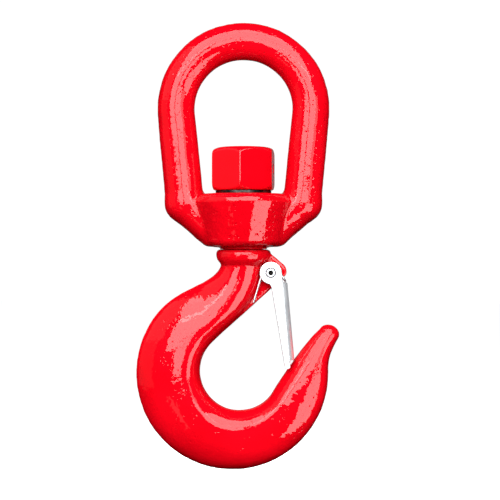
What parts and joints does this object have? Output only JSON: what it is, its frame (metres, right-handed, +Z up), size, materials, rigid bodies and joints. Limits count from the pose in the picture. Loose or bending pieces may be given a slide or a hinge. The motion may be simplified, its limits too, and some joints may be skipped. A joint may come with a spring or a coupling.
{
  "type": "swivel hoist hook",
  "caption": "Swivel hoist hook: a forged bail whose boss carries a hook on a nut, with a sprung sheet-steel latch that closes the hook's mouth.",
  "frame": {"origin": "the middle of the bail's inner top, where the ring or shackle that holds it bears", "axes": "+Z up along the swivel axis, +X across the bail towards the hook's mouth, +Y through the thickness away from the pictured side"},
  "size_m": [0.0902, 0.0446, 0.1984],
  "materials": {
    "red_paint": "gloss red enamel over a forged surface",
    "bare_steel": "oiled bare steel",
    "zinc_plate": "bright zinc plate",
    "spring_steel": "plated spring wire"
  },
  "bodies": {
    "bail_body": {"bail": "red_paint"},
    "washer_body": {"thrust_washer": "bare_steel"},
    "hook_body": {"hook": "red_paint", "swivel_nut": "red_paint", "nut_lock_pin": "bare_steel", "latch_pin": "zinc_plate", "latch_spring": "spring_steel"},
    "latch_body": {"latch": "zinc_plate"}
  },
  "joints": [
    {"name": "hook_swivel", "type": "hinge", "parent": "bail_body", "child": "hook_body", "pos_m": [0, 0, -0.0596], "axis": [0, 0, 1], "continuous": true},
    {"name": "washer_spin", "type": "hinge", "parent": "bail_body", "child": "washer_body", "pos_m": [0, 0, -0.0596], "axis": [0, 0, 1], "continuous": true},
    {"name": "latch_hinge", "type": "hinge", "parent": "hook_body", "child": "latch_body", "pos_m": [0.01206, 0, -0.0946], "axis": [0, 1, 0], "range_deg": [0, 45], "stiffness_Nm_per_rad": 0.12, "springref_deg": -34.38, "deforming": ["latch_spring"]}
  ]
}
